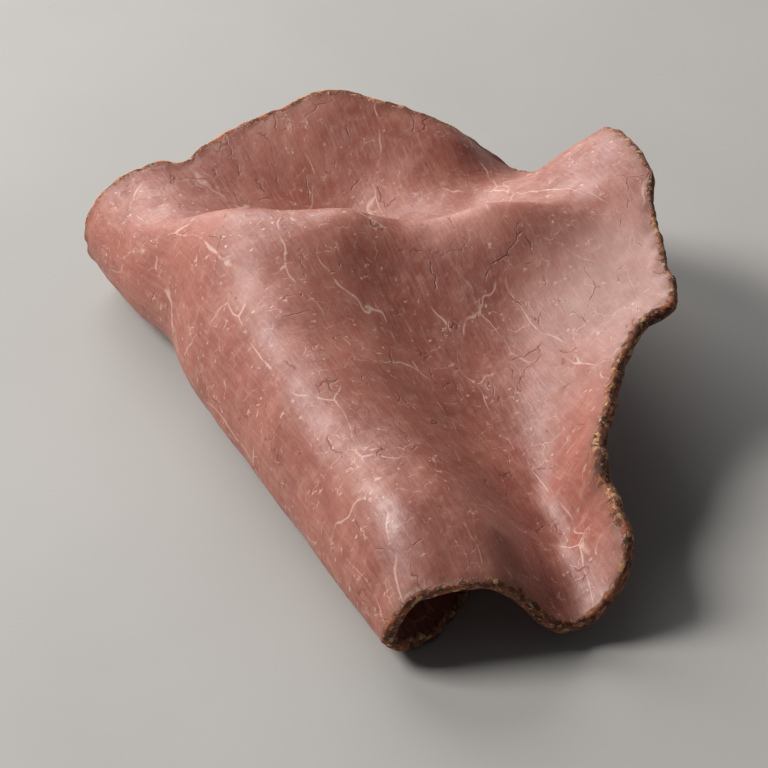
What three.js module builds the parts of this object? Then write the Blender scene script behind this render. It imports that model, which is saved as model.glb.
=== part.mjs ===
// A thin slice of cooked beef, folded loosely in two, with a browned rim.
// Millimetres, +Z up. The slice lies on its lower layer; the front mouth of the fold looks to -Y.
import * as THREE from "three";

// The slice
const THICKNESS = 2.2;
const HALF = THICKNESS / 2;
const GRID = 52;
const PLAN_CENTRE = [-2.69, 60.12];

// The fold: a line in plan, with the roll's widths and height at its front and back ends
const FOLD_FRONT = [-1.6, 4.2];
const FOLD_BEARING = THREE.MathUtils.degToRad(117);
const FOLD_LENGTH = 106;
const UPPER_WIDTH = [8.5, 15];
const LOWER_WIDTH = [6.5, 9.5];
const SIDE_HEIGHT = [6.5, 9.5];
const UPPER_FULLNESS = 1.2;
const UPPER_ARC = 1.5;
const TUCK = { along: 80, spread: 6, depth: 2.2, reach: 8 };

// The lower layer's far side lifts off the surface in low waves
const LIFT = { start: 26, run: 26, height: 3.2, wave: 62, shift: 0.6 };

// The lower layer touches the surface at three low spots and arches between them.
// Each spot is its distances across and along the fold.
const REST_SPOTS = [[10, 6], [14, 98], [44, 40.6]];
const REST_SPREAD = 9;
const ARCH_HEIGHT = 0.8;

// Heights that the upper layer passes through: x, y, z
const SPOTS = {
  lobe: [-42, 101, 19],
  lobeSide: [-38, 88, 21],
  lobeDip: [-36, 108, 18.3],
  panelLeft: [-33, 73, 23],
  panelCrown: [-13.5, 61, 24.6],
  panelRight: [18, 66, 19],
  crestLeft: [-27, 81, 23.8],
  crestMiddle: [-7, 79, 25.2],
  crestRight: [16, 80, 25.4],
  flapLow: [31, 87, 26],
  flapEdge: [43.3, 79, 26.8],
  corner: [36, 104, 28],
  bulge: [45.3, 60, 25],
  bulgeTop: [34, 71, 24.2],
  notch: [37.9, 51.5, 22.6],
  rightMargin: [33, 60.5, 21.6],
  ridgeBack: [-17, 52, 24.2],
  ridgeMiddle: [-5, 26, 21.2],
  ridgeFront: [8.5, 4, 14.7],
  shoulderTop: [-10, 59.7, 23.2],
  shoulderBack: [-4, 46.3, 21.3],
  shoulderMiddle: [2.2, 33, 20.1],
  shoulderLow: [8.6, 21.2, 20],
  shoulderEnd: [14.9, 12.2, 17.2],
  shoulderFront: [17.5, 5, 13],
  slopeTop: [0, 69.8, 21.7],
  slopeBack: [5.4, 57.6, 17],
  slopeMiddle: [11.3, 44.9, 13],
  slopeLow: [17.4, 32, 10.4],
  footTop: [12.9, 63.8, 18.2],
  footBack: [16.8, 53, 14],
  footMiddle: [20.9, 43, 11.2],
  footLow: [25.3, 33.4, 9.4],
  footFront: [29.2, 23.2, 8.4],
  hollowFront: [25.5, 6.2, 4.6],
  frontDip: [30.5, 9, 5.6],
  wallEnd: [35.9, 11, 11.4],
  wallLow: [35.1, 18, 16.5],
  wallMiddle: [32.8, 27.5, 18.8],
  wallUp: [34.3, 38, 21],
  dipLeft: [-26, 98, 16],
  dipMiddle: [-8, 97, 12],
  dipRight: [15, 99, 15],
  dipExit: [27, 110, 15.5],
  backLeft: [-28, 113, 21],
  backMiddle: [-10, 119, 26],
  backRight: [11, 113, 20],
  backLow: [21, 118, 11],
};
const SPOT_SCALE = 50;
const SPOT_SOFTNESS = 0.0005;

// Creases added to those heights. "bow" bends the line to its left, "left" and "right" are its spreads,
// "fadeIn" and "fadeOut" the shares of its length over which it grows and dies away.
const CREASES = [
  {
    name: "crest", from: [-46, 90], to: [38, 86], bow: -9.5,
    height: 3.8, left: 2.7, right: 8, fadeIn: 0.3, fadeOut: 0.25,
  },
  {
    name: "back fold", from: [-2, 97], to: [36, 104], bow: 1,
    height: 1.8, left: 3.6, right: 4.5, fadeIn: 0.4, fadeOut: 0.2,
  },
];

// The outline: plan places on the upper layer, then distances across and along the fold on the lower one
const UPPER_RIM = [
  [8.7, 2.6], [18, 4.2], [27, 5.5], [34, 8.5], [36.2, 14], [32.8, 27.3], [34.3, 38], [37.9, 51.5],
  [40.8, 56.2], [45.3, 60.2], [44.8, 69], [43.3, 80], [42.5, 92], [36, 104.5], [27, 113], [19, 119],
  [6, 118], [-10, 119.5], [-28, 113.5], [-35, 109], [-43, 106.5],
];
const LOWER_RIM = [
  [2, 107], [14, 106], [30, 100], [44, 86], [52, 62], [48, 38], [32, 19], [13, 1.5], [5, -2],
];

// The browned rim: how far it bulges, and its crags as [reach, count round the rim, start]
const RIM_BULGE = 0.55;
const CRAGS = [[0.15, 31, 0.4], [0.1, 53, 1.9], [0.07, 71, 4.2]];

const ALONG = [Math.cos(FOLD_BEARING), Math.sin(FOLD_BEARING)];
const ACROSS = [ALONG[1], -ALONG[0]];

function ease(share) {
  const t = THREE.MathUtils.clamp(share, 0, 1);
  return t * t * (3 - 2 * t);
}

function bell(distance, spread) {
  return Math.exp(-0.5 * (distance / spread) ** 2);
}

// Value between the front and back ends of the fold
function atFold([front, back], q) {
  return front + (back - front) * THREE.MathUtils.clamp(q / FOLD_LENGTH, -0.2, 1.2);
}

// Solves a square set of linear equations by elimination
function solve(matrix, values) {
  const rows = matrix.map((row, i) => [...row, values[i]]);
  const size = rows.length;
  for (let i = 0; i < size; i += 1) {
    let best = i;
    for (let k = i + 1; k < size; k += 1) {
      if (Math.abs(rows[k][i]) > Math.abs(rows[best][i])) best = k;
    }
    [rows[i], rows[best]] = [rows[best], rows[i]];
    for (let k = 0; k < size; k += 1) {
      const share = k === i ? 0 : rows[k][i] / rows[i][i];
      for (let j = i; j <= size; j += 1) rows[k][j] -= share * rows[i][j];
    }
  }
  return rows.map((row, i) => row[size] / row[i]);
}

function spotKernel(dx, dy) {
  const square = Math.max(dx * dx + dy * dy, 1e-12);
  return 0.5 * square * Math.log(square);
}

// The thin plate that bends least while it passes through the spots
function makePlate(spots) {
  const places = spots.map(([x, y]) => [x / SPOT_SCALE, y / SPOT_SCALE]);
  const matrix = places.map(([x, y], i) => {
    const row = places.map(([u, v], k) => spotKernel(x - u, y - v) + (i === k ? SPOT_SOFTNESS : 0));
    return [...row, 1, x, y];
  });
  matrix.push([...places.map(() => 1), 0, 0, 0]);
  matrix.push([...places.map(([x]) => x), 0, 0, 0]);
  matrix.push([...places.map(([, y]) => y), 0, 0, 0]);
  const weights = solve(matrix, [...spots.map(([, , z]) => z), 0, 0, 0]);
  const [level, slopeX, slopeY] = weights.slice(-3);
  return (x, y) => {
    const u = x / SPOT_SCALE;
    const v = y / SPOT_SCALE;
    let height = level + slopeX * u + slopeY * v;
    places.forEach(([px, py], k) => {
      height += weights[k] * spotKernel(u - px, v - py);
    });
    return height;
  };
}

const plateHeight = makePlate(Object.values(SPOTS));

function creaseHeight(crease, x, y) {
  const [fx, fy] = crease.from;
  const dx = crease.to[0] - fx;
  const dy = crease.to[1] - fy;
  const length = Math.hypot(dx, dy);
  const share = ((x - fx) * dx + (y - fy) * dy) / length ** 2;
  const off = ((y - fy) * dx - (x - fx) * dy) / length - crease.bow * 4 * share * (1 - share);
  const spread = off > 0 ? crease.left : crease.right;
  const fade = ease(share / crease.fadeIn) * ease((1 - share) / crease.fadeOut);
  return crease.height * bell(off, spread) * fade;
}

function upperHeight(x, y) {
  return CREASES.reduce((height, crease) => height + creaseHeight(crease, x, y), plateHeight(x, y));
}

function lowerHeight(off, q) {
  const wave = 0.5 + 0.5 * Math.sin((q / LIFT.wave) * 2 * Math.PI + LIFT.shift);
  const lift = LIFT.height * wave * ease((off - LIFT.start) / LIFT.run);
  const rises = REST_SPOTS.map(([x, y]) => 1 - bell(Math.hypot(off - x, q - y), REST_SPREAD));
  return HALF + lift + ARCH_HEIGHT * rises.reduce((product, rise) => product * rise);
}

// Lengths of the two quarters of the roll, measured round it
function upperTurn(q) {
  const width = atFold(UPPER_WIDTH, q);
  const height = atFold(SIDE_HEIGHT, q) * UPPER_FULLNESS;
  return UPPER_ARC * Math.sqrt((width ** 2 + height ** 2) / 2);
}

function lowerTurn(q) {
  const width = atFold(LOWER_WIDTH, q);
  const height = atFold(SIDE_HEIGHT, q);
  return (Math.PI / 2) * Math.sqrt((width ** 2 + height ** 2) / 2);
}

function planPlace(off, q) {
  const tuck = TUCK.depth * bell(q - TUCK.along, TUCK.spread) * Math.exp(-((off / TUCK.reach) ** 2));
  const across = off + tuck;
  return [
    FOLD_FRONT[0] + ALONG[0] * q + ACROSS[0] * across,
    FOLD_FRONT[1] + ALONG[1] * q + ACROSS[1] * across,
  ];
}

// Middle surface of the slice. On the flat slice p runs across the fold, above 0 on the upper layer,
// and q runs along it.
function middle(p, q) {
  const side = atFold(SIDE_HEIGHT, q);
  const upper = p >= 0;
  const turn = upper ? upperTurn(q) : lowerTurn(q);
  const width = atFold(upper ? UPPER_WIDTH : LOWER_WIDTH, q);
  const reach = Math.abs(p);
  const angle = (Math.min(reach / turn, 1) * Math.PI) / 2;
  const stretch = upper ? (width * Math.PI) / 2 / turn : 1;
  const off = width * (1 - Math.cos(angle)) + Math.max(reach - turn, 0) * stretch;
  const [x, y] = planPlace(off, q);
  const far = upper ? upperHeight(x, y) : lowerHeight(off, q);
  return new THREE.Vector3(x, y, side + (far - side) * Math.sin(angle));
}

const STEP = 0.05;

function slope(p, q, dp, dq) {
  const ahead = middle(p + dp * STEP, q + dq * STEP);
  const behind = middle(p - dp * STEP, q - dq * STEP);
  return ahead.sub(behind).normalize();
}

// Unit direction out of the upper face
function faceNormal(p, q) {
  return new THREE.Vector3().crossVectors(slope(p, q, 1, 0), slope(p, q, 0, 1)).normalize();
}

// Flat coordinates of a plan place on the upper layer
function flatOfUpper([x, y]) {
  const dx = x - FOLD_FRONT[0];
  const dy = y - FOLD_FRONT[1];
  const q = dx * ALONG[0] + dy * ALONG[1];
  const off = dx * ACROSS[0] + dy * ACROSS[1];
  const width = atFold(UPPER_WIDTH, q);
  const turn = upperTurn(q);
  const arc = Math.acos(1 - THREE.MathUtils.clamp(off / width, 0, 1)) * (turn / (Math.PI / 2));
  const rest = Math.max(off - width, 0) / ((width * Math.PI) / 2 / turn);
  return new THREE.Vector3(arc + rest, q, 0);
}

// Flat coordinates of a point of the lower layer at a distance across and along the fold
function flatOfLower([off, q]) {
  const width = atFold(LOWER_WIDTH, q);
  const turn = lowerTurn(q);
  const arc = Math.acos(1 - THREE.MathUtils.clamp(off / width, 0, 1)) * (turn / (Math.PI / 2));
  return new THREE.Vector3(-arc - Math.max(off - width, 0), q, 0);
}

// Outline of the flat slice, as points evenly spaced round it
function flatRim(count) {
  const knots = [...UPPER_RIM.map(flatOfUpper), ...LOWER_RIM.map(flatOfLower)];
  const curve = new THREE.CatmullRomCurve3(knots, true, "catmullrom", 0.5);
  curve.arcLengthDivisions = 4000;
  return curve.getSpacedPoints(count).slice(0, count);
}

// Place of a square grid's node on a disc: share of the way out, and turns round from the +a side
function discPlace(a, b) {
  const ring = Math.max(Math.abs(a), Math.abs(b));
  if (ring === 0) return [0, 0];
  let turns = 0.75 - a / b / 8;
  if (Math.abs(a) >= Math.abs(b)) turns = (a > 0 ? 0 : 0.5) + b / a / 8;
  else if (b > 0) turns = 0.25 - a / b / 8;
  return [ring, (turns + 1) % 1];
}

// Flat coordinates of the grid's nodes, squeezed from a square into the outline
function flatGrid(rim) {
  const centre = rim.reduce((sum, point) => sum.add(point), new THREE.Vector3()).divideScalar(rim.length);
  const nodes = [];
  for (let i = 0; i <= GRID; i += 1) {
    for (let j = 0; j <= GRID; j += 1) {
      const [ring, turns] = discPlace((2 * i) / GRID - 1, (2 * j) / GRID - 1);
      const place = turns * rim.length;
      const whole = Math.floor(place + 1e-9);
      const edge = rim[whole % rim.length].clone();
      edge.lerp(rim[(whole + 1) % rim.length], Math.max(place - whole, 0));
      nodes.push(centre.clone().lerp(edge, ring));
    }
  }
  return nodes;
}

// Grid nodes on the rim, in order round it
function rimNodes() {
  const index = (i, j) => i * (GRID + 1) + j;
  const half = GRID / 2;
  const nodes = [];
  for (let k = 0; k < half; k += 1) nodes.push(index(GRID, half + k));
  for (let k = 0; k < GRID; k += 1) nodes.push(index(GRID - k, GRID));
  for (let k = 0; k < GRID; k += 1) nodes.push(index(0, GRID - k));
  for (let k = 0; k < GRID; k += 1) nodes.push(index(k, 0));
  for (let k = 0; k < half; k += 1) nodes.push(index(GRID, k));
  return nodes;
}

function cragReach(turns) {
  const waves = CRAGS.map(([reach, count, start]) => reach * Math.sin(2 * Math.PI * count * turns + start));
  return waves.reduce((sum, wave) => sum + wave);
}

// Direction in the slice's surface, straight out over its rim
function rimOutward(rim, k) {
  const next = rim[(k + 1) % rim.length];
  const last = rim[(k - 1 + rim.length) % rim.length];
  const tangent = next.clone().sub(last).normalize();
  return slope(rim[k].x, rim[k].y, tangent.y, -tangent.x);
}

// Two triangles of a quad, split on its shorter diagonal
function quadTriangles(points, [a, b, c, d]) {
  if (points[a].distanceTo(points[c]) <= points[b].distanceTo(points[d])) return [a, b, c, a, c, d];
  return [a, b, d, b, c, d];
}

function makeSlice() {
  const rim = flatRim(4 * GRID);
  const flat = flatGrid(rim);
  const centres = flat.map(({ x, y }) => middle(x, y));
  const normals = flat.map(({ x, y }) => faceNormal(x, y));
  const border = rimNodes();
  const outward = border.map((node, k) => rimOutward(rim, k));
  border.forEach((node, k) => centres[node].addScaledVector(outward[k], cragReach(k / border.length)));

  const outer = centres.map((point, k) => point.clone().addScaledVector(normals[k], HALF));
  const inner = centres.map((point, k) => point.clone().addScaledVector(normals[k], -HALF));
  const bulge = border.map((node, k) => centres[node].clone().addScaledVector(outward[k], RIM_BULGE));
  const points = [...outer, ...inner, ...bulge];

  const count = centres.length;
  const triangles = [];
  for (let i = 0; i < GRID; i += 1) {
    for (let j = 0; j < GRID; j += 1) {
      const a = i * (GRID + 1) + j;
      const quad = [a, a + GRID + 1, a + GRID + 2, a + 1];
      triangles.push(...quadTriangles(points, quad));
      triangles.push(...quadTriangles(points, quad.map((node) => node + count).reverse()));
    }
  }
  border.forEach((node, k) => {
    const next = (k + 1) % border.length;
    const low = node + count;
    const lowNext = border[next] + count;
    const side = 2 * count + k;
    const sideNext = 2 * count + next;
    triangles.push(...quadTriangles(points, [node, side, sideNext, border[next]]));
    triangles.push(...quadTriangles(points, [side, low, lowNext, sideNext]));
  });

  const geometry = new THREE.BufferGeometry().setFromPoints(points);
  geometry.setIndex(triangles);
  geometry.computeVertexNormals();
  return geometry;
}

const meat = new THREE.MeshStandardMaterial({ color: 0xb98478, roughness: 0.5, metalness: 0 });
const slice = new THREE.Mesh(makeSlice(), meat);
slice.name = "slice";
slice.position.set(-PLAN_CENTRE[0], -PLAN_CENTRE[1], 0);

const beef = new THREE.Group();
beef.name = "folded_beef_slice";
beef.add(slice);

export default beef;
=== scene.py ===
"""A folded slice of roast beef on a pale floor. Its form is in millimetres, the objects are in metres."""
import math

import bpy
import numpy as np
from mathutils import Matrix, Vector


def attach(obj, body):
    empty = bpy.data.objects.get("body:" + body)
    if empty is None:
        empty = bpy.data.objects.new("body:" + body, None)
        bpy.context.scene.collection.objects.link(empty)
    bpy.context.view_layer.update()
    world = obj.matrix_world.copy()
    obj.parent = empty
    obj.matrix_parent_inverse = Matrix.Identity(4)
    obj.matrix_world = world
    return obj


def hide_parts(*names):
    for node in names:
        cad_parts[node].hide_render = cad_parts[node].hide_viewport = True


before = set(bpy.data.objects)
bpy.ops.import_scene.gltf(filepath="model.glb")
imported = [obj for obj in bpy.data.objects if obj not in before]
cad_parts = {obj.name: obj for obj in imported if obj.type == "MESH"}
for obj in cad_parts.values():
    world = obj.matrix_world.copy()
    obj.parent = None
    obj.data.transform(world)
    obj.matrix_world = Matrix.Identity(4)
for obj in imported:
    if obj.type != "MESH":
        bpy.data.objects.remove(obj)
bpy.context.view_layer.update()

MM = 0.001

# The slice, by the same named values as its solid
THICKNESS = 2.2
HALF = THICKNESS / 2
GRID = 208
PLAN_CENTRE = (-2.69, 60.12)

# The fold: a line in plan, with the roll's widths and height at its front and back ends
FOLD_FRONT = (-1.6, 4.2)
FOLD_BEARING = math.radians(117)
FOLD_LENGTH = 106
UPPER_WIDTH = (8.5, 15)
LOWER_WIDTH = (6.5, 9.5)
SIDE_HEIGHT = (6.5, 9.5)
UPPER_FULLNESS = 1.2
UPPER_ARC = 1.5
TUCK = {"along": 80, "spread": 6, "depth": 2.2, "reach": 8}

# The lower layer's far side lifts off the floor in low waves, and the layer touches the floor at three spots.
# Each spot is its distances across and along the fold.
LIFT = {"start": 26, "run": 26, "height": 3.2, "wave": 62, "shift": 0.6}
REST_SPOTS = ((10, 6), (14, 98), (44, 40.6))
REST_SPREAD = 9
ARCH_HEIGHT = 0.8

# Heights that the upper layer passes through: x, y, z
SPOTS = {
    "lobe": (-42, 101, 19),
    "lobe side": (-38, 88, 21),
    "lobe dip": (-36, 108, 18.3),
    "panel left": (-33, 73, 23),
    "panel crown": (-13.5, 61, 24.6),
    "panel right": (18, 66, 19),
    "crest left": (-27, 81, 23.8),
    "crest middle": (-7, 79, 25.2),
    "crest right": (16, 80, 25.4),
    "flap low": (31, 87, 26),
    "flap edge": (43.3, 79, 26.8),
    "corner": (36, 104, 28),
    "bulge": (45.3, 60, 25),
    "bulge top": (34, 71, 24.2),
    "notch": (37.9, 51.5, 22.6),
    "right margin": (33, 60.5, 21.6),
    "ridge back": (-17, 52, 24.2),
    "ridge middle": (-5, 26, 21.2),
    "ridge front": (8.5, 4, 14.7),
    "shoulder top": (-10, 59.7, 23.2),
    "shoulder back": (-4, 46.3, 21.3),
    "shoulder middle": (2.2, 33, 20.1),
    "shoulder low": (8.6, 21.2, 20),
    "shoulder end": (14.9, 12.2, 17.2),
    "shoulder front": (17.5, 5, 13),
    "slope top": (0, 69.8, 21.7),
    "slope back": (5.4, 57.6, 17),
    "slope middle": (11.3, 44.9, 13),
    "slope low": (17.4, 32, 10.4),
    "foot top": (12.9, 63.8, 18.2),
    "foot back": (16.8, 53, 14),
    "foot middle": (20.9, 43, 11.2),
    "foot low": (25.3, 33.4, 9.4),
    "foot front": (29.2, 23.2, 8.4),
    "hollow front": (25.5, 6.2, 4.6),
    "front dip": (30.5, 9, 5.6),
    "wall end": (35.9, 11, 11.4),
    "wall low": (35.1, 18, 16.5),
    "wall middle": (32.8, 27.5, 18.8),
    "wall up": (34.3, 38, 21),
    "dip left": (-26, 98, 16),
    "dip middle": (-8, 97, 12),
    "dip right": (15, 99, 15),
    "dip exit": (27, 110, 15.5),
    "back left": (-28, 113, 21),
    "back middle": (-10, 119, 26),
    "back right": (11, 113, 20),
    "back low": (21, 118, 11),
}
SPOT_SCALE = 50
SPOT_SOFTNESS = 0.0005

# Creases added to those heights. "bow" bends the line to its left, "left" and "right" are its spreads,
# "fade in" and "fade out" the shares of its length over which it grows and dies away.
CREASES = {
    "crest": {
        "from": (-46, 90), "to": (38, 86), "bow": -9.5,
        "height": 3.8, "left": 2.7, "right": 8, "fade in": 0.3, "fade out": 0.25,
    },
    "back fold": {
        "from": (-2, 97), "to": (36, 104), "bow": 1,
        "height": 1.8, "left": 3.6, "right": 4.5, "fade in": 0.4, "fade out": 0.2,
    },
}

# The outline: plan places on the upper layer, then distances across and along the fold on the lower one
UPPER_RIM = (
    (8.7, 2.6), (18, 4.2), (27, 5.5), (34, 8.5), (36.2, 14), (32.8, 27.3), (34.3, 38), (37.9, 51.5),
    (40.8, 56.2), (45.3, 60.2), (44.8, 69), (43.3, 80), (42.5, 92), (36, 104.5), (27, 113), (19, 119),
    (6, 118), (-10, 119.5), (-28, 113.5), (-35, 109), (-43, 106.5),
)
LOWER_RIM = (
    (2, 107), (14, 106), (30, 100), (44, 86), (52, 62), (48, 38), (32, 19), (13, 1.5), (5, -2),
)
LENGTH_STEPS = 4000

# The browned rim: its crags as reach, count round the rim and start, and its bulge in rows of quads
CRAGS = ((0.15, 31, 0.4), (0.1, 53, 1.9), (0.07, 71, 4.2))
RIM_BULGE = 0.55
RIM_ROUNDNESS = 0.7
RIM_ROWS = 6

# Relief finer than the solid shows: cell size and height of each layer of noise
SURFACE_RELIEF = ((7.0, 0.16), (2.6, 0.07), (1.1, 0.035))
CRUST_RELIEF = ((1.9, 0.2), (0.9, 0.14))
CRUST_DEPTH = 1.6
RELIEF_FADE = 6
SEEDS = {"surface": 3, "upper": 11, "lower": 17, "rim": 23}
LATTICE = 256
LATTICE_START = 100.5

# Millimetres of noise passed on the way round the rim, and from one of its rows to the next
RIM_WALK = 400
ROW_WALK = 1.1

ALONG = (math.cos(FOLD_BEARING), math.sin(FOLD_BEARING))
ACROSS = (ALONG[1], -ALONG[0])


def ease(share):
    t = np.clip(share, 0, 1)
    return t * t * (3 - 2 * t)


def bell(distance, spread):
    return np.exp(-0.5 * (distance / spread) ** 2)


def at_fold(pair, q):
    """Value between the front and back ends of the fold."""
    return pair[0] + (pair[1] - pair[0]) * np.clip(q / FOLD_LENGTH, -0.2, 1.2)


def spot_kernel(dx, dy):
    square = np.maximum(dx * dx + dy * dy, 1e-12)
    return 0.5 * square * np.log(square)


def plate_weights():
    """Weights of the thin plate that bends least while it passes through the spots."""
    spots = np.array(list(SPOTS.values()), float)
    x, y = spots[:, 0] / SPOT_SCALE, spots[:, 1] / SPOT_SCALE
    count = len(spots)
    matrix = np.zeros((count + 3, count + 3))
    matrix[:count, :count] = spot_kernel(x[:, None] - x, y[:, None] - y) + SPOT_SOFTNESS * np.eye(count)
    matrix[:count, count:] = np.stack([np.ones(count), x, y], 1)
    matrix[count:, :count] = matrix[:count, count:].T
    return x, y, np.linalg.solve(matrix, np.append(spots[:, 2], [0, 0, 0]))


PLATE_X, PLATE_Y, PLATE_WEIGHTS = plate_weights()


def plate_height(x, y):
    u, v = x / SPOT_SCALE, y / SPOT_SCALE
    level, slope_x, slope_y = PLATE_WEIGHTS[-3:]
    height = level + slope_x * u + slope_y * v
    for px, py, weight in zip(PLATE_X, PLATE_Y, PLATE_WEIGHTS):
        height = height + weight * spot_kernel(u - px, v - py)
    return height


def crease_height(crease, x, y):
    fx, fy = crease["from"]
    dx, dy = crease["to"][0] - fx, crease["to"][1] - fy
    length = math.hypot(dx, dy)
    share = ((x - fx) * dx + (y - fy) * dy) / length ** 2
    off = ((y - fy) * dx - (x - fx) * dy) / length - crease["bow"] * 4 * share * (1 - share)
    spread = np.where(off > 0, crease["left"], crease["right"])
    fade = ease(share / crease["fade in"]) * ease((1 - share) / crease["fade out"])
    return crease["height"] * bell(off, spread) * fade


def upper_height(x, y):
    return plate_height(x, y) + sum(crease_height(crease, x, y) for crease in CREASES.values())


def lower_height(off, q):
    wave = 0.5 + 0.5 * np.sin(q / LIFT["wave"] * 2 * math.pi + LIFT["shift"])
    lift = LIFT["height"] * wave * ease((off - LIFT["start"]) / LIFT["run"])
    arch = math.prod(1 - bell(np.hypot(off - x, q - y), REST_SPREAD) for x, y in REST_SPOTS)
    return HALF + lift + ARCH_HEIGHT * arch


def upper_turn(q):
    """Length of the roll's upper quarter, measured round it."""
    height = at_fold(SIDE_HEIGHT, q) * UPPER_FULLNESS
    return UPPER_ARC * np.sqrt((at_fold(UPPER_WIDTH, q) ** 2 + height ** 2) / 2)


def lower_turn(q):
    return math.pi / 2 * np.sqrt((at_fold(LOWER_WIDTH, q) ** 2 + at_fold(SIDE_HEIGHT, q) ** 2) / 2)


def middle(p, q):
    """Middle surface. On the flat slice p runs across the fold, above 0 on the upper layer, and q along."""
    side = at_fold(SIDE_HEIGHT, q)
    upper = p >= 0
    turn = np.where(upper, upper_turn(q), lower_turn(q))
    width = np.where(upper, at_fold(UPPER_WIDTH, q), at_fold(LOWER_WIDTH, q))
    reach = np.abs(p)
    angle = np.minimum(reach / turn, 1) * math.pi / 2
    stretch = np.where(upper, width * math.pi / 2 / turn, 1)
    off = width * (1 - np.cos(angle)) + np.maximum(reach - turn, 0) * stretch
    tuck = TUCK["depth"] * bell(q - TUCK["along"], TUCK["spread"]) * np.exp(-(off / TUCK["reach"]) ** 2)
    x = FOLD_FRONT[0] + ALONG[0] * q + ACROSS[0] * (off + tuck)
    y = FOLD_FRONT[1] + ALONG[1] * q + ACROSS[1] * (off + tuck)
    far = np.where(upper, upper_height(x, y), lower_height(off, q))
    return np.stack([x, y, side + (far - side) * np.sin(angle)], -1)


def unit(vectors):
    return vectors / np.linalg.norm(vectors, axis=-1, keepdims=True)


def slope(p, q, dp, dq, step=0.05):
    return unit(middle(p + dp * step, q + dq * step) - middle(p - dp * step, q - dq * step))


def face_normal(p, q):
    return unit(np.cross(slope(p, q, 1, 0), slope(p, q, 0, 1)))


def flat_of_upper(place):
    """Flat coordinates of a plan place on the upper layer."""
    dx, dy = place[0] - FOLD_FRONT[0], place[1] - FOLD_FRONT[1]
    q = dx * ALONG[0] + dy * ALONG[1]
    off = dx * ACROSS[0] + dy * ACROSS[1]
    width, turn = at_fold(UPPER_WIDTH, q), upper_turn(q)
    arc = math.acos(1 - min(max(off / width, 0), 1)) * turn / (math.pi / 2)
    return arc + max(off - width, 0) * turn / (width * math.pi / 2), q


def flat_of_lower(place):
    """Flat coordinates of a point of the lower layer at a distance across and along the fold."""
    off, q = place
    width, turn = at_fold(LOWER_WIDTH, q), lower_turn(q)
    arc = math.acos(1 - min(max(off / width, 0), 1)) * turn / (math.pi / 2)
    return -arc - max(off - width, 0), q


def closed_curve(knots, turns):
    """Smooth closed curve through the knots."""
    place = (turns % 1) * len(knots)
    whole = np.floor(place).astype(int)
    t = (place - whole)[:, None]
    k0, k1, k2, k3 = (knots[(whole + shift) % len(knots)] for shift in (-1, 0, 1, 2))
    bend = (2 * k0 - 5 * k1 + 4 * k2 - k3) * t ** 2 + (3 * k1 - k0 - 3 * k2 + k3) * t ** 3
    return 0.5 * (2 * k1 + (k2 - k0) * t + bend)


def flat_rim(count):
    """Outline of the flat slice as points evenly spaced round it, and the direction out of it."""
    knots = [flat_of_upper(place) for place in UPPER_RIM] + [flat_of_lower(place) for place in LOWER_RIM]
    knots = np.array(knots)
    fine = np.linspace(0, 1, LENGTH_STEPS + 1)
    points = closed_curve(knots, fine)
    length = np.append(0, np.cumsum(np.linalg.norm(np.diff(points, axis=0), axis=1)))
    rim = closed_curve(knots, np.interp(np.arange(count) / count * length[-1], length, fine))
    tangent = unit(np.roll(rim, -1, 0) - np.roll(rim, 1, 0))
    return rim, np.stack([tangent[:, 1], -tangent[:, 0]], 1)


def disc_places():
    """Places of a square grid's nodes on a disc: share of the way out, and turns round from the +a side."""
    line = np.linspace(-1, 1, GRID + 1)
    a, b = np.meshgrid(line, line, indexing="ij")
    ring = np.maximum(np.abs(a), np.abs(b))
    safe_a = np.where(a == 0, 1, a)
    safe_b = np.where(b == 0, 1, b)
    wide = np.where(a > 0, 0, 0.5) + b / safe_a / 8
    tall = np.where(b > 0, 0.25, 0.75) - a / safe_b / 8
    return ring.ravel(), (np.where(np.abs(a) >= np.abs(b), wide, tall) % 1).ravel()


def rim_nodes():
    """Grid nodes on the rim, in order round it."""
    node = np.arange((GRID + 1) ** 2).reshape(GRID + 1, GRID + 1)
    half = GRID // 2
    return np.concatenate([
        node[-1, half:-1], node[:0:-1, -1], node[0, :0:-1], node[:-1, 0], node[-1, :half],
    ])


def value_noise(x, y, cell, seed):
    """Smooth noise from -1 to 1, with one random value on each corner of a square lattice."""
    lattice = np.random.default_rng(seed).uniform(-1, 1, (LATTICE, LATTICE))
    u, v = x / cell + LATTICE_START, y / cell + LATTICE_START
    i, j = np.floor(u).astype(int), np.floor(v).astype(int)
    s, t = ease(u - i), ease(v - j)

    def corner(right, up):
        return lattice[(i + right) % LATTICE, (j + up) % LATTICE]

    low = corner(0, 0) * (1 - s) + corner(1, 0) * s
    high = corner(0, 1) * (1 - s) + corner(1, 1) * s
    return low * (1 - t) + high * t


def relief(layers, p, q, seed):
    return sum(height * value_noise(p, q, cell, seed + k) for k, (cell, height) in enumerate(layers))


def cragged_rim():
    """Outline of the flat slice with its crags, the direction out of it, and the share of the way round."""
    rim, out = flat_rim(4 * GRID)
    share = np.arange(len(rim)) / len(rim)
    reach = sum(size * np.sin(2 * math.pi * count * share + start) for size, count, start in CRAGS)
    return rim + out * reach[:, None], out, share


def spread_in(rim, out):
    """Flat coordinates of the grid's nodes, squeezed into the outline, and their distances in from it."""
    ring, turns = disc_places()
    place = turns * len(rim)
    whole = np.floor(place + 1e-9).astype(int)
    part = np.maximum(place - whole, 0)[:, None]
    edge = rim[whole % len(rim)] * (1 - part) + rim[(whole + 1) % len(rim)] * part
    centre = rim.mean(0)
    flat = centre + (edge - centre) * ring[:, None]
    return flat, np.maximum(((edge - flat) * out[whole % len(rim)]).sum(1), 0)


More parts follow.
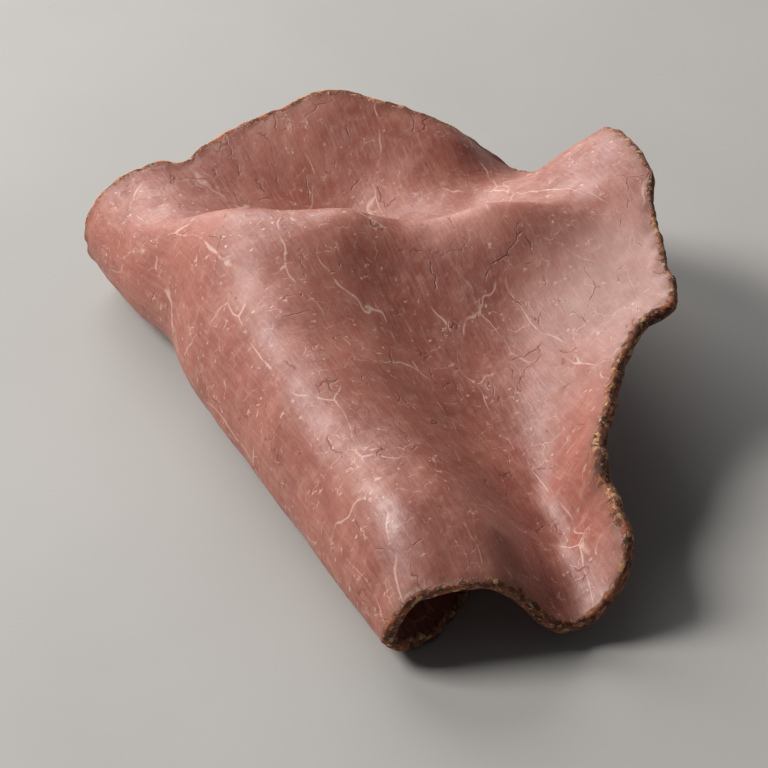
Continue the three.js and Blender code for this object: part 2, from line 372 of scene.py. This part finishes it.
def rim_rows(rim, out, share, middles, normals, upper, lower):
    """Rows of vertices round the rim: their places, flat coordinates, depths and distances in."""
    outward = slope(rim[:, 0], rim[:, 1], out[:, 0], out[:, 1])
    rows = []
    for row in range(1, RIM_ROWS):
        turn = math.pi * row / RIM_ROWS
        depth = math.cos(turn)
        thick = (upper if depth > 0 else lower) * depth
        rough = relief(CRUST_RELIEF, share * RIM_WALK, np.full(len(rim), row * ROW_WALK), SEEDS["rim"])
        bulge = (RIM_BULGE + rough) * math.sin(turn) ** RIM_ROUNDNESS
        places = middles + normals * thick[:, None] + outward * bulge[:, None]
        rows.append((places, rim + out * bulge[:, None], thick, -bulge))
    return rows


def slice_points():
    """Places of the slice's vertices, with their flat coordinates, depths and distances in from the rim."""
    rim, out, share = cragged_rim()
    flat, inward = spread_in(rim, out)
    p, q = flat[:, 0], flat[:, 1]
    normals = face_normal(p, q)
    swell = relief(SURFACE_RELIEF, p, q, SEEDS["surface"]) * ease(inward / RELIEF_FADE)
    middles = middle(p, q) + normals * swell[:, None]
    crust = np.exp(-(inward / CRUST_DEPTH) ** 2)
    upper = HALF + crust * relief(CRUST_RELIEF, p, q, SEEDS["upper"])
    lower = HALF + crust * relief(CRUST_RELIEF, p, q, SEEDS["lower"])
    border = rim_nodes()
    parts = [
        (middles + normals * upper[:, None], flat, upper, inward),
        (middles - normals * lower[:, None], flat, -lower, inward),
        *rim_rows(rim, out, share, middles[border], normals[border], upper[border], lower[border]),
    ]
    places, flats, depths, inwards = (np.concatenate(values) for values in zip(*parts))
    places[:, 2] = np.maximum(places[:, 2], 0)
    return places, flats, depths, inwards


def slice_quads():
    """Corner numbers of the upper face, the lower face and the rim, in separate groups."""
    node = np.arange((GRID + 1) ** 2).reshape(GRID + 1, GRID + 1)
    upper = np.stack([node[:-1, :-1], node[1:, :-1], node[1:, 1:], node[:-1, 1:]], -1).reshape(-1, 4)
    lower = upper[:, ::-1] + node.size
    border = rim_nodes()
    rows = [2 * node.size + k * len(border) + np.arange(len(border)) for k in range(RIM_ROWS - 1)]
    rings = [border, *rows, border + node.size]
    rim = [np.stack([a, b, np.roll(b, -1), np.roll(a, -1)], -1) for a, b in zip(rings, rings[1:])]
    return upper, lower, np.concatenate(rim)


# Layout of the texture map: the two faces side by side, and the rim in four strips above them
MAP_GAP = 0.01
FACE_SIZE = (0.48, 0.84)
LOWER_FACE_LEFT = 0.51
STRIPS_LOW = 0.87
STRIP_PITCH = 0.032
STRIP_HEIGHT = 0.026


def flat_map(flat, quads):
    """Texture map of all the corners, with the lower face mirrored."""
    upper, lower, rim = quads
    low, high = flat.min(0), flat.max(0)
    share = (flat - low) / (high - low)
    left = share[upper] * FACE_SIZE + MAP_GAP
    right = (share[lower] * (-1, 1) + (1, 0)) * FACE_SIZE + (LOWER_FACE_LEFT, MAP_GAP)
    segment = np.arange(len(rim)) % (4 * GRID)
    row = np.arange(len(rim)) // (4 * GRID)
    strip = segment // GRID
    along = (segment % GRID)[:, None] + np.array([0, 0, 1, 1])
    across = row[:, None] + np.array([0, 1, 1, 0])
    u = along / GRID * (1 - 2 * MAP_GAP) + MAP_GAP
    v = STRIPS_LOW + strip[:, None] * STRIP_PITCH + across / RIM_ROWS * STRIP_HEIGHT
    return np.concatenate([left, right, np.stack([u, v], -1)])


def slice_mesh():
    places, flat, depth, inward = slice_points()
    places = places - np.array([*PLAN_CENTRE, 0])
    quads = slice_quads()
    corners = np.concatenate(quads)
    mesh = bpy.data.meshes.new("beef_slice")
    mesh.vertices.add(len(places))
    mesh.vertices.foreach_set("co", (places * MM).ravel())
    mesh.loops.add(corners.size)
    mesh.loops.foreach_set("vertex_index", corners.ravel())
    mesh.polygons.add(len(corners))
    mesh.polygons.foreach_set("loop_start", np.arange(len(corners)) * 4)
    mesh.update(calc_edges=True)
    mesh.shade_smooth()
    uv = mesh.uv_layers.new(name="OFBake")
    uv.data.foreach_set("uv", flat_map(flat, quads).ravel())
    grain = mesh.attributes.new("grain", "FLOAT_VECTOR", "POINT")
    grain.data.foreach_set("vector", np.column_stack([flat, depth]).ravel())
    edge = mesh.attributes.new("from_rim", "FLOAT", "POINT")
    edge.data.foreach_set("value", inward)
    return mesh


class Nodes:
    """Short forms for building a material's node tree."""

    def __init__(self, name):
        self.material = bpy.data.materials.new(name)
        self.material.use_nodes = True
        self.tree = self.material.node_tree
        self.shader = self.tree.nodes["Principled BSDF"]

    def put(self, socket, value):
        if isinstance(value, bpy.types.NodeSocket):
            self.tree.links.new(value, socket)
        else:
            socket.default_value = value

    def add(self, kind, output=0, values=None, **settings):
        node = self.tree.nodes.new(kind)
        for key, value in settings.items():
            setattr(node, key, value)
        for key, value in (values or {}).items():
            self.put(node.inputs[key], value)
        return node.outputs[output]

    def attribute(self, name, output):
        return self.add("ShaderNodeAttribute", output, attribute_name=name)

    def sum(self, a, b):
        return self.add("ShaderNodeMath", values={0: a, 1: b}, operation="ADD")

    def times(self, a, b):
        return self.add("ShaderNodeMath", values={0: a, 1: b}, operation="MULTIPLY")

    def step(self, value, low, high, start=0.0, end=1.0):
        """Smooth step from start to end while the value goes from low to high."""
        return self.add(
            "ShaderNodeMapRange",
            values={"Value": value, "From Min": low, "From Max": high, "To Min": start, "To Max": end},
            interpolation_type="SMOOTHSTEP",
        )

    def mix(self, share, a, b):
        """Colour a at share 0 and colour b at share 1."""
        node = self.tree.nodes.new("ShaderNodeMix")
        node.data_type = "RGBA"
        for key, value in ((0, share), (6, a), (7, b)):
            self.put(node.inputs[key], value)
        return node.outputs[2]

    def stretched(self, vector, scale):
        return self.add("ShaderNodeVectorMath", values={0: vector, 1: scale}, operation="MULTIPLY")

    def noise(self, vector, scale, detail=3.0, rough=0.55, output=0):
        values = {"Vector": vector, "Scale": scale, "Detail": detail, "Roughness": rough}
        return self.add("ShaderNodeTexNoise", output, values)

    def warped(self, vector, scale, reach):
        """The coordinates pushed about by noise."""
        colour = self.noise(vector, scale, 3.0, 0.6, 1)
        middle_grey = (0.5, 0.5, 0.5)
        push = self.add("ShaderNodeVectorMath", values={0: colour, 1: middle_grey}, operation="SUBTRACT")
        push = self.add("ShaderNodeVectorMath", values={0: push, "Scale": reach}, operation="SCALE")
        return self.add("ShaderNodeVectorMath", values={0: vector, 1: push}, operation="ADD")

    def cells(self, vector, scale, output=0):
        """Random cells: the distance to the nearest cell's centre, or with output 1 its colour."""
        return self.add("ShaderNodeTexVoronoi", output, {"Vector": vector, "Scale": scale}, feature="F1")

    def veins(self, vector, scale, width):
        """Thin lines between random cells, 1 on the line."""
        values = {"Vector": vector, "Scale": scale}
        edge = self.add("ShaderNodeTexVoronoi", 0, values, feature="DISTANCE_TO_EDGE")
        return self.step(edge, 0.0, width * scale, 1.0, 0.0)


# Colours of the meat and of its crust
MEAT_ROSE = (0.4, 0.131, 0.092, 1)
MEAT_DEEP = (0.3, 0.083, 0.056, 1)
MEAT_PALE = (0.53, 0.28, 0.215, 1)
# Painted sheen: the paler tone beside the right wall
PAINTED_SHEEN = (0.62, 0.4, 0.35, 1)
TISSUE = (0.7, 0.46, 0.38, 1)
CRACK = (0.17, 0.035, 0.02, 1)
CRUST_DARK = (0.085, 0.026, 0.01, 1)
CRUST_BROWN = (0.24, 0.084, 0.033, 1)
CRUST_RED = (0.36, 0.105, 0.04, 1)
CRUST_GOLD = (0.52, 0.32, 0.15, 1)
# Pale crumbs of the crust, partly painted glints
CRUST_CRUMB_AND_GLINT = (0.62, 0.47, 0.32, 1)
CRUST_HALO = (0.23, 0.085, 0.045, 1)

# Painted sheen: a paler patch beside the right wall that stands in for the highlight there; its middle on the
# flat slice, and where it starts and stops fading
PAINTED_SHEEN_PLACE = (62, 40, 0)
PAINTED_SHEEN_FADE = (4.0, 19.0)
PAINTED_SHEEN_SHARE = 0.5

# Widths of the lines in millimetres, and how strongly they show
LONG_LINE_WIDTH = 0.15
SHORT_LINE_WIDTH = 0.08
LINE_SHARE = 0.8
LINE_LIMIT = 0.75
CRACK_WIDTH = 0.12
CRACK_SHARE = 0.6

# The crust as far as it is seen from the faces, and the brown halo beside it, in millimetres from the rim
CRUST_REACH = 0.55
CRUST_RAGGEDNESS = 0.4
HALO_FADE = (0.2, 2.3)
HALO_SHARE = 0.6

MOIST_ROUGHNESS = (0.43, 0.58)
CRUST_ROUGHNESS = 0.9
SPECULAR_LEVEL = 0.75
SUBSURFACE_WEIGHT = 0.75
SUBSURFACE_RADIUS = (1.0, 0.3, 0.18)
SUBSURFACE_SCALE = 2.0 * MM
BUMP_STRENGTH = 0.6
BUMP_DISTANCE = 0.14 * MM


# The patterns below lie on the flat slice, so their scales are in waves or cells per millimetre

def meat_ground(nodes, grain):
    """Mottled rose meat with pale flecks and fibres, and a paler patch of painted sheen beside the right
    wall.
    """
    blotch = nodes.step(nodes.noise(grain, 0.07, 4.0), 0.36, 0.66)
    colour = nodes.mix(blotch, MEAT_DEEP, MEAT_ROSE)
    fleck = nodes.step(nodes.noise(grain, 0.55, 6.0, 0.7), 0.45, 0.72, 0.0, 0.42)
    colour = nodes.mix(fleck, colour, MEAT_PALE)
    fibre = nodes.noise(nodes.stretched(grain, (2.4, 0.3, 2.4)), 1.0, 4.0)
    colour = nodes.mix(nodes.step(fibre, 0.4, 0.75, 0.0, 0.35), colour, MEAT_PALE)
    # Painted sheen: the meat turns paler near the right wall, standing in for the highlight there
    away = nodes.add("ShaderNodeVectorMath", 1, {0: grain, 1: PAINTED_SHEEN_PLACE}, operation="DISTANCE")
    return nodes.mix(nodes.step(away, *PAINTED_SHEEN_FADE, PAINTED_SHEEN_SHARE, 0.0), colour, PAINTED_SHEEN)


def tissue_lines(nodes, grain):
    """Thin broken lines and ragged dots of pale tissue, in patches."""
    stretched = nodes.stretched(grain, (1.0, 0.5, 1.0))
    long_lines = nodes.veins(nodes.warped(stretched, 0.08, 8.0), 0.085, LONG_LINE_WIDTH)
    long_shown = nodes.step(nodes.noise(grain, 0.24, 4.0, 0.6), 0.43, 0.58, 0.0, LINE_SHARE)
    short_lines = nodes.veins(nodes.warped(grain, 0.25, 4.0), 0.3, SHORT_LINE_WIDTH)
    short_shown = nodes.step(nodes.noise(grain, 0.6, 3.0), 0.5, 0.62, 0.0, LINE_SHARE)
    lines = nodes.sum(nodes.times(long_lines, long_shown), nodes.times(short_lines, short_shown))
    dots = nodes.cells(nodes.warped(grain, 0.9, 1.5), 0.5)
    lines = nodes.sum(lines, nodes.step(dots, 0.06, 0.16, LINE_SHARE, 0.0))
    limited = nodes.add("ShaderNodeMath", values={0: lines, 1: LINE_LIMIT}, operation="MINIMUM")
    return nodes.times(limited, nodes.step(nodes.noise(grain, 0.06, 2.0), 0.3, 0.5))


def short_cracks(nodes, grain):
    slanted = nodes.stretched(nodes.warped(grain, 0.16, 4.0), (1.0, 0.6, 1.0))
    shown = nodes.step(nodes.noise(grain, 0.3, 4.0), 0.52, 0.6)
    return nodes.times(nodes.veins(slanted, 0.17, CRACK_WIDTH), shown)


def crust_colour(nodes, grain):
    """Browned crust in small ragged patches, from nearly black to mustard, with pale crumbs that are partly
    painted glints.
    """
    patches = nodes.cells(nodes.warped(grain, 1.2, 1.0), 1.35, 1)
    pick = nodes.add("ShaderNodeSeparateColor", 0, {0: patches})
    colour = nodes.mix(nodes.step(pick, 0.2, 0.5), CRUST_DARK, CRUST_BROWN)
    colour = nodes.mix(nodes.step(pick, 0.6, 0.75), colour, CRUST_RED)
    colour = nodes.mix(nodes.step(pick, 0.85, 0.95), colour, CRUST_GOLD)
    burnt = nodes.step(nodes.noise(grain, 1.6, 5.0, 0.65), 0.53, 0.65, 0.0, 0.75)
    colour = nodes.mix(burnt, colour, CRUST_DARK)
    # Pale specks: crumbs, and painted glints on the crust
    crumb_and_glint = nodes.step(nodes.noise(grain, 2.4, 3.0), 0.6, 0.68, 0.0, 0.8)
    return nodes.mix(crumb_and_glint, colour, CRUST_CRUMB_AND_GLINT)


def crust_shares(nodes, grain):
    """How strongly the crust and the brown halo beside it show."""
    uneven = nodes.noise(grain, 0.9, 5.0, 0.65)
    push = nodes.step(uneven, 0.3, 0.7, -CRUST_RAGGEDNESS, CRUST_RAGGEDNESS)
    from_rim = nodes.sum(nodes.attribute("from_rim", "Fac"), push)
    crust = nodes.step(from_rim, 0.0, CRUST_REACH, 1.0, 0.0)
    halo = nodes.step(from_rim, *HALO_FADE, HALO_SHARE, 0.0)
    return crust, halo


def fine_relief(nodes, grain, crust, cracks):
    """Fibres, pits and cracks of the meat, and the crumbs of its crust."""
    fibre = nodes.noise(nodes.stretched(grain, (3.0, 0.5, 3.0)), 1.0, 3.0)
    pits = nodes.noise(grain, 1.7, 4.0, 0.6)
    crumbs = nodes.noise(grain, 2.2, 4.0, 0.7)
    height = nodes.sum(nodes.times(fibre, 0.5), nodes.times(pits, 0.6))
    height = nodes.sum(height, nodes.times(cracks, -0.9))
    height = nodes.sum(height, nodes.times(crumbs, nodes.times(crust, 3.0)))
    values = {"Height": height, "Strength": BUMP_STRENGTH, "Distance": BUMP_DISTANCE}
    return nodes.add("ShaderNodeBump", values=values)


def beef_material():
    nodes = Nodes("roast_beef")
    grain = nodes.attribute("grain", "Vector")
    crust, halo = crust_shares(nodes, grain)
    cracks = short_cracks(nodes, grain)
    colour = nodes.mix(tissue_lines(nodes, grain), meat_ground(nodes, grain), TISSUE)
    colour = nodes.mix(nodes.times(cracks, CRACK_SHARE), colour, CRACK)
    colour = nodes.mix(halo, colour, CRUST_HALO)
    colour = nodes.mix(crust, colour, crust_colour(nodes, grain))
    moist = nodes.step(nodes.noise(grain, 0.3, 4.0), 0.35, 0.65, *MOIST_ROUGHNESS)

    shader = nodes.shader.inputs
    nodes.put(shader["Base Color"], colour)
    dull = (CRUST_ROUGHNESS, CRUST_ROUGHNESS, CRUST_ROUGHNESS, 1)
    nodes.put(shader["Roughness"], nodes.mix(crust, moist, dull))
    nodes.put(shader["Normal"], fine_relief(nodes, grain, crust, cracks))
    shader["Subsurface Weight"].default_value = SUBSURFACE_WEIGHT
    shader["Subsurface Radius"].default_value = SUBSURFACE_RADIUS
    shader["Subsurface Scale"].default_value = SUBSURFACE_SCALE
    shader["Specular IOR Level"].default_value = SPECULAR_LEVEL
    return nodes.material


def add_slice():
    slice_object = bpy.data.objects.new("beef_slice", slice_mesh())
    bpy.context.scene.collection.objects.link(slice_object)
    slice_object.data.materials.append(beef_material())
    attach(slice_object, "root")
    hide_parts("slice")


FLOOR_SIZE = 4
FLOOR_COLOUR = (0.44, 0.425, 0.405, 1)
FLOOR_SHADE = 0.94
FLOOR_ROUGHNESS = 0.7


def add_floor():
    bpy.ops.mesh.primitive_plane_add(size=FLOOR_SIZE)
    floor = bpy.context.object
    floor.name = "floor"
    nodes = Nodes("floor")
    place = nodes.add("ShaderNodeNewGeometry", "Position")
    cloud = nodes.step(nodes.noise(place, 14.0, 4.0), 0.3, 0.7)
    darker = (*[FLOOR_SHADE * value for value in FLOOR_COLOUR[:3]], 1)
    nodes.put(nodes.shader.inputs["Base Color"], nodes.mix(cloud, FLOOR_COLOUR, darker))
    nodes.shader.inputs["Roughness"].default_value = FLOOR_ROUGHNESS
    floor.data.materials.append(nodes.material)


WINDOWS = {
    "side window": {"place": (-0.62, 0.04, 0.66), "size": 0.38, "watts": 8.5, "colour": (1.0, 0.985, 0.96)},
    "back window": {"place": (-0.3, 0.7, 0.43), "size": 0.6, "watts": 5.0, "colour": (1.0, 0.995, 0.985)},
}
WINDOW_AIM = (0, 0, 0.01)
STUDIO_COLOUR = (0.86, 0.9, 0.96, 1)
STUDIO_STRENGTH = 0.085


def add_window(name, place, size, watts, colour):
    """A soft area light, turned to the slice."""
    data = bpy.data.lights.new(name, "AREA")
    data.energy = watts
    data.size = size
    data.color = colour
    lamp = bpy.data.objects.new(name, data)
    lamp.location = place
    lamp.rotation_euler = (Vector(WINDOW_AIM) - Vector(place)).to_track_quat("-Z", "Y").to_euler()
    bpy.context.scene.collection.objects.link(lamp)


def add_lights():
    for name, window in WINDOWS.items():
        add_window(name, **window)
    world = bpy.data.worlds.new("studio")
    world.use_nodes = True
    background = world.node_tree.nodes["Background"].inputs
    background["Color"].default_value = STUDIO_COLOUR
    background["Strength"].default_value = STUDIO_STRENGTH
    bpy.context.scene.world = world
    bpy.context.scene.view_settings.view_transform = "Standard"


VIEW_ELEVATION = math.radians(37)
VIEW_DISTANCE = 0.62
VIEW_WIDTH = 0.124
VIEW_TARGET = (0.002, -0.0016, 0.01)


def add_camera():
    data = bpy.data.cameras.new("camera")
    data.lens = data.sensor_width * VIEW_DISTANCE / VIEW_WIDTH
    data.clip_start = 0.01
    camera = bpy.data.objects.new("camera", data)
    back = Vector((0, -math.cos(VIEW_ELEVATION), math.sin(VIEW_ELEVATION)))
    camera.location = Vector(VIEW_TARGET) + back * VIEW_DISTANCE
    camera.rotation_euler = (-back).to_track_quat("-Z", "Y").to_euler()
    bpy.context.scene.collection.objects.link(camera)
    bpy.context.scene.camera = camera


add_slice()
add_floor()
add_lights()
add_camera()
